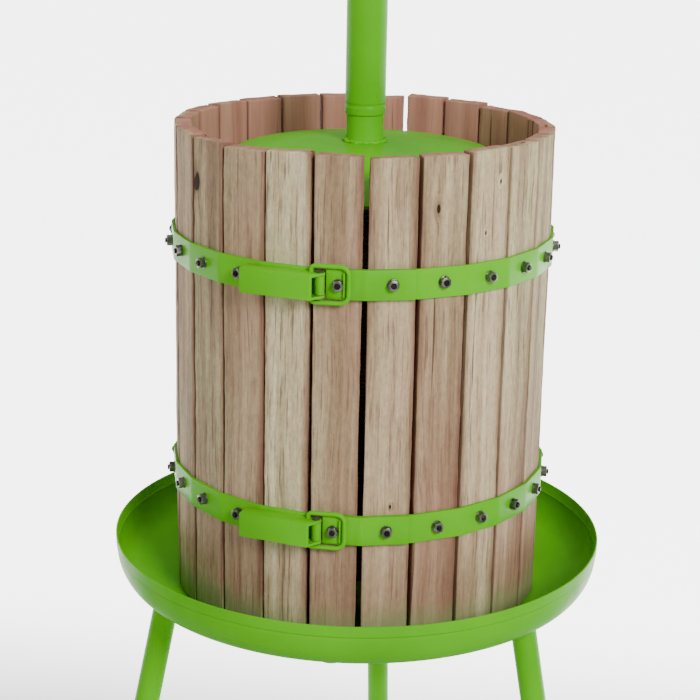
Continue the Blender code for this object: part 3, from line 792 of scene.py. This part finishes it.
only()
bpy.ops.mesh.primitive_cylinder_add(vertices=6, radius=NUT_FLATS / math.sqrt(3),
                                    depth=NUT_HEIGHT,
                                    location=(0, 0, WASHER + NUT_HEIGHT / 2))
nut = bpy.context.object
bpy.ops.object.transform_apply(location=True, rotation=True, scale=True)
cone = spin_section([(0, 0), (0.0070, 0), (0.0070, WASHER + 0.0038),
                     (0.0046, WASHER + NUT_HEIGHT + 0.0001), (0, 0.0063)], 24)
cut(nut, "INTERSECT", cone)
washer = spin_section(rounded([(0.0031, 0), (0.0062, 0), (0.0062, WASHER),
                               (0.0031, WASHER)], {1: 0.0003, 2: 0.0004}), 24)
thread = [(0, THREAD_TOP), (0.0022, THREAD_TOP), (THREAD_R, THREAD_TOP - 0.0008)]
z = THREAD_TOP - 0.0008
while z > WASHER + NUT_HEIGHT - THREAD_PITCH:
    thread += [(THREAD_R - 0.0005, z - 0.5 * THREAD_PITCH), (THREAD_R, z - THREAD_PITCH)]
    z -= THREAD_PITCH
shank = spin_section(thread + [(THREAD_R, -GRIP), (0, -GRIP)], 16)
head = spin_section([(0, -GRIP - HEAD_DOME)] + [
    (HEAD_R * math.sin(a), -GRIP - HEAD_DOME * math.cos(a))
    for a in (math.radians(d) for d in (25, 45, 62, 78, 90))] + [(0, -GRIP)], 20)
for part, finish in ((nut, zinc), (washer, zinc), (shank, dark_steel), (head, zinc)):
    close_up(part, 30)
    part.data.materials.append(finish)
only(nut, washer, shank, head)
bpy.ops.object.join()
bolt_set = bpy.context.object
print("one bolt set has", len(bolt_set.data.polygons), "faces")

# %% Bolt every stave to both bands
BAND_FACE = FACE + 0.0033
KEEPER_FACE = BAND_FACE + 0.0028
for level, height in LEVELS.items():
    for side, body in (("left", "left_half_basket"), ("right", "root")):
        for k in range(12):
            azimuth = -PITCH * (k + 1) if side == "left" else PITCH * k
            piece = twin(bolt_set)
            over = KEEPER_FACE if side == "right" and k < 2 else BAND_FACE
            piece.matrix_world = (
                Matrix.Translation(at_face(azimuth, rnd.uniform(-0.0012, 0.0012), over, height
                                           + rnd.uniform(-0.0008, 0.0008)))
                @ Matrix.Rotation(azimuth, 4, "Z") @ Matrix.Rotation(math.pi / 2, 4, "X")
                @ Matrix.Rotation(rnd.uniform(0, 1.05), 4, "Z"))
            settle(piece, f"bolt_set_{side}_{level}_{k + 1:02d}", body, "zinc_steel", None)
bpy.data.objects.remove(bolt_set, do_unlink=True)

# %% [markdown]
# ## The basin
#
# The basin is a disc of sheet steel spun over a former. Its section is a short upright
# lip, a crease, a quarter of an ellipse, an apron that slopes to the flat floor, and
# the floor. The outer skin alone is spun, the wall gets its thickness from a Solidify
# modifier, and the drain hole is cut.

# %% Spin the basin
basin_low, basin_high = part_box("basin")
RIM_R, RIM = basin_high.x, basin_high.z
SHEET, LIP, CREASE = 0.002, 0.0125, 0.0014
CORNER_A, CORNER_B = 0.0253, 0.0364
APRON = math.tan(math.radians(16.7))
DRAIN_Y = (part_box("drain_spout")[0].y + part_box("drain_spout")[1].y) / 2
DRAIN_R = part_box("drain_spout")[1].x

skin = [(RIM_R, RIM), (RIM_R - 0.0002, RIM - LIP + 0.002), (RIM_R - CREASE, RIM - LIP)]
for step in range(1, 21):
    t = math.radians(78) * step / 20
    skin.append((RIM_R - 0.001 - CORNER_A * (1 - math.cos(t)),
                 RIM - LIP - CORNER_B * math.sin(t)))
run = (skin[-1][1] - basin_low.z) / APRON
foot = skin[-1][0] - run
skin += [(foot + 0.006, basin_low.z + 0.006 * APRON), (foot, basin_low.z + 0.0004),
         (foot - 0.006, basin_low.z), (0.12, basin_low.z), (0.0106, basin_low.z)]
basin = spin_section(skin, 160, closed=False)
outward = basin.data.polygons[0].normal.dot(basin.data.polygons[0].center) > 0
apply_modifier(basin, "SOLIDIFY", thickness=SHEET, offset=-1.0 if outward else 1.0)
edit(basin)
pick("EDGE", lambda e: sharp(e, 60) and min(v.co.z for v in e.verts) > RIM - 0.003)
bpy.ops.mesh.bevel(offset=0.0008, segments=3, affect="EDGES")
only()
bpy.ops.mesh.primitive_cylinder_add(vertices=48, radius=DRAIN_R + 0.0003, depth=0.02,
                                    location=(0, DRAIN_Y, basin_low.z))
cut(basin, "DIFFERENCE", bpy.context.object)
settle(close_up(basin, 30), "spun_basin", "root", "green_paint", enamel, "basin")

# %% Drain stub with its thread
stub_low, stub_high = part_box("drain_spout")[0].z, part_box("drain_spout")[1].z
stub = [(0.0105, stub_high), (DRAIN_R, stub_high), (DRAIN_R, stub_low + 0.0030),
        (DRAIN_R - 0.0009, stub_low + 0.0022), (DRAIN_R, stub_low + 0.0014),
        (DRAIN_R - 0.0008, stub_low), (0.0105, stub_low)]
piece = spin_section(stub, 48)
piece.location.y = DRAIN_Y
settle(piece, "drain_stub", "root", "green_paint", enamel, "drain_spout")

# %% [markdown]
# ## Weld beads
#
# A hand-laid weld is a bead with ripples. A ring is squashed out of true with the
# same clouds as the worn staves, which gives it lumps of the right size.

# %% Lay the beads
def weld(name, body, centre, major, minor, ripples=0.0016, tilt=0.0, azimuth=0.0):
    only()
    bpy.ops.mesh.primitive_torus_add(major_radius=major, minor_radius=minor,
                                     major_segments=96, minor_segments=10)
    bead = bpy.context.object
    bead.matrix_world = (Matrix.Translation(centre) @ Matrix.Rotation(azimuth, 4, "Z")
                         @ Matrix.Rotation(tilt, 4, "X"))
    bpy.ops.object.transform_apply(location=True, rotation=True, scale=True)
    ripple = bpy.data.textures.get("weld_ripple") or bpy.data.textures.new(
        "weld_ripple", "CLOUDS")
    ripple.noise_scale = 0.004
    apply_modifier(bead, "DISPLACE", texture=ripple, texture_coords="GLOBAL",
                   strength=ripples, mid_level=0.5)
    return settle(close_up(bead, 60), name, body, "green_paint", enamel)


PLATE_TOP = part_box("press_plate")[1].z
COLLAR_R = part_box("plate_collar")[1].x
weld("drain_weld", "root", (0, DRAIN_Y, stub_high - 0.0022), DRAIN_R + 0.0006, 0.0014)
weld("collar_weld", "plate", (0, 0, PLATE_TOP + 0.0008), COLLAR_R + 0.0014, 0.0023, 0.0046)

# %% [markdown]
# ## The plate, its collar and the press tube
#
# The plate is a pressed dish, upside down: a flat at the collar, a crown that falls
# away, and a steeper skirt. The tube above it has a shallow rolled groove, and four
# dabs of weld fill the holes through which the nut inside is fixed.

# %% Press plate and collar
SKIRT_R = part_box("press_plate")[1].x
PLATE_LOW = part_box("press_plate")[0].z
CROWN_R, CROWN_DROP, CROWN_FLAT, PLATE_THICK, BORE = 0.138, 0.011, 0.026, 0.004, 0.0152
top = [(BORE, PLATE_TOP), (CROWN_FLAT, PLATE_TOP)]
for step in range(1, 15):
    r = CROWN_FLAT + (CROWN_R - CROWN_FLAT) * step / 14
    top.append((r, PLATE_TOP - CROWN_DROP * ((r - CROWN_FLAT) / (CROWN_R - CROWN_FLAT)) ** 2))
top.append((SKIRT_R, PLATE_LOW + PLATE_THICK))
under = [(r - 0.0015 * (r == SKIRT_R), z - PLATE_THICK) for r, z in top]
section = rounded(top + under[::-1], {15: 0.006, 16: 0.0012, 17: 0.0012, 18: 0.006})
settle(spin_section(section, 144), "pressed_plate", "plate", "green_paint", enamel,
       "press_plate")

collar_low, collar_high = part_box("plate_collar")[0].z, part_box("plate_collar")[1].z
settle(spin_section(rounded([
    (COLLAR_R, collar_high), (COLLAR_R, collar_low + 0.009),
    (COLLAR_R + 0.0010, collar_low + 0.003), (COLLAR_R + 0.0012, collar_low),
    (BORE, collar_low), (BORE, collar_high)], {0: 0.0008, 5: 0.0008}), 96),
    "welded_collar", "plate", "green_paint", enamel, "plate_collar")

# %% Press tube with its groove
TUBE_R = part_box("press_tube")[1].x
tube_low, tube_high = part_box("press_tube")[0].z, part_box("press_tube")[1].z
BAR_Z = (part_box("handle_bar")[0].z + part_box("handle_bar")[1].z) / 2
BAR_TUBE_R = (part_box("handle_bar")[1].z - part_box("handle_bar")[0].z) / 2
groove = tube_low + 0.010
tube = spin_section(rounded([
    (TUBE_R, tube_high), (TUBE_R, groove + 0.0022), (TUBE_R - 0.0006, groove + 0.0010),
    (TUBE_R - 0.0006, groove - 0.0010), (TUBE_R, groove - 0.0022), (TUBE_R, tube_low),
    (0.0180, tube_low), (0.0180, tube_high)],
    {0: 0.0006, 1: 0.0008, 2: 0.0006, 3: 0.0006, 4: 0.0008, 5: 0.0008}), 96)
only()
bpy.ops.mesh.primitive_cylinder_add(vertices=48, radius=BAR_TUBE_R + 0.0003, depth=0.1,
                                    location=(0, 0, BAR_Z), rotation=(math.pi / 2, 0, 0))
cut(tube, "DIFFERENCE", bpy.context.object)
only()
bpy.ops.mesh.primitive_cylinder_add(vertices=24, radius=0.0043, depth=0.03,
                                    location=(0.027, 0, BAR_Z), rotation=(0, math.pi / 2, 0))
cut(tube, "DIFFERENCE", bpy.context.object)
settle(close_up(tube, 30), "rolled_press_tube", "press_tube", "green_paint", enamel,
       "press_tube")

# %% Dabs of weld on the tube
def dab(name, body, place, azimuth, size):
    """A small lump of weld: a ball, squashed and made lumpy."""
    only()
    bpy.ops.mesh.primitive_ico_sphere_add(subdivisions=3, radius=1, scale=size)
    lump = bpy.context.object
    lump.matrix_world = (Matrix.Translation(place) @ Matrix.Rotation(azimuth, 4, "Z")
                         @ Matrix.Diagonal((*size, 1)))
    bpy.ops.object.transform_apply(location=True, rotation=True, scale=True)
    apply_modifier(lump, "DISPLACE", texture=bpy.data.textures["weld_ripple"],
                   texture_coords="GLOBAL", strength=0.0012, mid_level=0.5)
    return settle(close_up(lump, 60), name, body, "green_paint", enamel)


for number, degrees in enumerate((-39, 41, 141, 221), 1):
    azimuth = math.radians(degrees)
    dab(f"nut_weld_{number}", "press_tube", at_face(azimuth, 0, TUBE_R, groove + 0.0030),
        azimuth, (0.0034, 0.0036, 0.0050))
for level, u in (("upper", -0.0105), ("lower", -0.0220)):
    dab(f"lever_weld_{level}", f"{level}_lever",
        at_face(-PITCH, u, 0.2222, LEVELS[level] + 0.0108), -PITCH, (0.0010, 0.0016, 0.0026))

# %% [markdown]
# ## The T-handle
#
# The bar stays as the CAD has it. The grips are pushed-on moulded rubber with rings,
# the tube ends in a plastic cap, and a hexagon bolt locks the bar.

# %% Grips, cap and bolt
grip_near, grip_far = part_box("grip_rear")[0].y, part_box("grip_rear")[1].y
GRIP_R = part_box("grip_rear")[1].x
section = [(BAR_TUBE_R + 0.0003, grip_near), (GRIP_R + 0.0012, grip_near),
           (GRIP_R + 0.0012, grip_near + 0.005), (GRIP_R - 0.0012, grip_near + 0.0065)]
at = grip_near + 0.010
while at < grip_far - 0.016:
    section += [(GRIP_R - 0.0012, at), (GRIP_R, at + 0.0014), (GRIP_R, at + 0.0046),
                (GRIP_R - 0.0012, at + 0.0060)]
    at += 0.0082
section += [(GRIP_R, grip_far - 0.008), (GRIP_R - 0.0006, grip_far - 0.0035),
            (GRIP_R * 0.8, grip_far), (0, grip_far)]
solid_end = [(0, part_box("handle_bar")[1].y + 0.0003),
             (BAR_TUBE_R + 0.0003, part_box("handle_bar")[1].y + 0.0003)]
for side, turn in (("rear", -1), ("front", 1)):
    piece = spin_section([solid_end[0], solid_end[1]] + section, 48)
    piece.rotation_euler.x = turn * math.pi / 2
    piece.location.z = BAR_Z
    settle(piece, f"ribbed_grip_{side}", "press_tube", "black_rubber", rubber,
           f"grip_{side}")

cap_low, cap_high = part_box("tube_cap")[0].z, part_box("tube_cap")[1].z
settle(spin_section([(0, cap_high)] + [
    (TUBE_R * math.sin(a) ** 0.8, tube_high + 0.0003 + (cap_high - tube_high) * math.cos(a))
    for a in (math.radians(d) for d in (18, 36, 52, 66, 78, 86))] + [
    (TUBE_R, tube_high + 0.0003), (0.0177, tube_high + 0.0003), (0.0177, cap_low),
    (0, cap_low)], 64), "domed_cap", "press_tube", "black_rubber", rubber, "tube_cap")

bolt_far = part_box("bar_bolt")[1].x
only()
bpy.ops.mesh.primitive_cylinder_add(vertices=6, radius=0.0075, depth=0.0055,
                                    location=(0, 0, TUBE_R + 0.0003 + 0.00275))
bolt = bpy.context.object
bpy.ops.object.transform_apply(location=True, rotation=True, scale=True)
cut(bolt, "INTERSECT", spin_section([(0, 0), (0.009, 0), (0.009, bolt_far - 0.0014),
                                     (0.0060, bolt_far), (0, bolt_far)], 32))
shank = spin_section([(0, BAR_TUBE_R + 0.0003), (0.004, BAR_TUBE_R + 0.0003),
                      (0.004, TUBE_R + 0.002), (0, TUBE_R + 0.002)], 24)
cut(bolt, "UNION", shank)
bolt.rotation_euler.y = math.pi / 2
bolt.location.z = BAR_Z
settle(close_up(bolt, 30), "locking_bolt", "press_tube", "zinc_steel", zinc, "bar_bolt")

# %% [markdown]
# ## The screw and its nuts
#
# The screw is a 28 mm bar with a trapezoidal thread of 5 mm pitch. One tooth of the
# thread is drawn, and the Screw modifier winds it up the bar; the winding is trimmed
# square at both ends. Its shoulder clamps the basin and a flanged nut sits below.

# %% Wind the thread
screw_top, shoulder_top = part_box("screw")[1].z, 0.392
SCREW_R, LEAD, TOOTH = 0.014, 0.005, 0.0025
turns = math.ceil((screw_top - shoulder_top) / LEAD) + 3
only()
start_z = shoulder_top - 1.5 * LEAD
bpy.ops.mesh.primitive_plane_add(size=0.0001, location=(SCREW_R - TOOTH, 0, start_z))
thread = bpy.context.object
bpy.ops.object.mode_set(mode="EDIT")
bpy.ops.mesh.select_mode(type="VERT")
bpy.ops.mesh.merge(type="CENTER")
for dr, dz in ((0, 0.0018), (TOOTH, 0.00065), (0, 0.0019), (-TOOTH, 0.00065)):
    bpy.ops.mesh.extrude_region_move(TRANSFORM_OT_translate={"value": (dr, 0, dz)})
only(thread)
bpy.ops.object.transform_apply(location=True, rotation=True, scale=True)
apply_modifier(thread, "SCREW", axis="Z", screw_offset=LEAD, iterations=turns, steps=28,
               render_steps=28, use_merge_vertices=False)
edit(thread)
bpy.ops.mesh.select_all(action="SELECT")
bpy.ops.mesh.remove_doubles(threshold=0.00001)
for height, upper in ((screw_top, True), (shoulder_top - 0.0004, False)):
    bpy.ops.mesh.select_all(action="SELECT")
    bpy.ops.mesh.bisect(plane_co=(0, 0, height), plane_no=(0, 0, 1), use_fill=True,
                        clear_outer=upper, clear_inner=not upper)
close_up(thread, 30)
shoulder = spin_section([(0, shoulder_top), (0.0292, shoulder_top), (0.030, shoulder_top
    - 0.0008), (0.030, 0.3803), (0.010, 0.3803), (0.010, 0.350), (0.009, 0.349), (0, 0.349)], 64)
cut(thread, "UNION", shoulder)
settle(close_up(thread, 30), "threaded_screw", "root", "zinc_steel", screw_steel, "screw")

# %% Drive nut and basin nut
nut_low, nut_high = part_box("drive_nut")[0].z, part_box("drive_nut")[1].z
settle(spin_section([(0.0177, nut_high), (0.0177, nut_low), (0.0143, nut_low),
                     (0.0143, nut_high)], 64),
       "pressed_in_nut", "press_tube", "zinc_steel", screw_steel, "drive_nut")
under_low, under_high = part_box("screw_nut")[0].z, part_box("screw_nut")[1].z
only()
bpy.ops.mesh.primitive_cylinder_add(vertices=6, radius=0.030 / math.sqrt(3),
    depth=under_high - under_low, location=(0, 0, (under_high + under_low) / 2))
nut = bpy.context.object
bpy.ops.object.transform_apply(location=True, rotation=True, scale=True)
cut(nut, "INTERSECT", spin_section([(0, under_high + 0.001), (0.02, under_high + 0.001),
    (0.02, under_low + 0.0028), (0.0145, under_low - 0.0001), (0, under_low - 0.0001)], 48))
cut(nut, "UNION", spin_section([(0, under_high), (0.0255, under_high), (0.026, under_high
    - 0.0005), (0.026, under_high - 0.0035), (0.020, under_high - 0.0055),
    (0, under_high - 0.0055)], 48))
cut(nut, "DIFFERENCE", spin_section([(0, under_high + 0.01), (0.0103, under_high + 0.01),
                                     (0.0103, under_low - 0.01), (0, under_low - 0.01)], 48))
settle(close_up(nut, 30), "flanged_nut", "root", "zinc_steel", zinc, "screw_nut")

# %% [markdown]
# ## The feet
#
# A foot is a ribbed rubber boot pushed over the end of a leg. It is spun upright,
# tilted with the leg, and trimmed level with the floor.

# %% Rubber feet
LEG_TILT = math.radians(12)
LEG_R = 0.01375
SOLE = 0.006
for side, degrees in (("left", -60), ("right", 60), ("rear", 180)):
    azimuth = math.radians(degrees)
    foot_low, foot_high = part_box(f"foot_{side}")
    centre = at_face(azimuth, 0, 0.2215 + 0.380 * math.tan(LEG_TILT), 0)
    section = [(0, 0.0062), (LEG_R, 0.0062), (LEG_R, 0.034), (0.0160, 0.034),
               (0.0164, 0.0335)]
    for ring in (0.029, 0.024, 0.019):
        section += [(0.0164, ring + 0.0012), (0.0156, ring), (0.0164, ring - 0.0012)]
    section += [(0.0165, 0.013), (0.0168, 0.008), (0.0169, 0.003), (0.0169, -0.006), (0, -0.006)]
    foot = spin_section(section, 48)
    foot.matrix_world = (Matrix.Translation(centre) @ Matrix.Rotation(azimuth, 4, "Z")
                         @ Matrix.Rotation(-LEG_TILT, 4, "X"))
    bpy.ops.object.transform_apply(location=True, rotation=True, scale=True)
    edit(foot)
    bpy.ops.mesh.select_all(action="SELECT")
    bpy.ops.mesh.bisect(plane_co=(0, 0, 0), plane_no=(0, 0, 1), use_fill=True,
                        clear_inner=True)
    settle(close_up(foot, 30), f"ribbed_foot_{side}", "root", "black_rubber", rubber,
           f"foot_{side}")

# %% [markdown]
# ## What the frame already has right
#
# The legs, the handle bar, the pins and the hidden studs are plain turned or drawn
# shapes, and their CAD solids are kept. They only need the right finish.

# %% Finish the CAD nodes that stay
for name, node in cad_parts.items():
    if node.hide_render:
        continue
    finish = enamel if name.startswith(("leg_left", "leg_right", "leg_rear", "handle")) else zinc
    node.material_slots[0].material = finish
    print("kept", name, "in", finish.name)
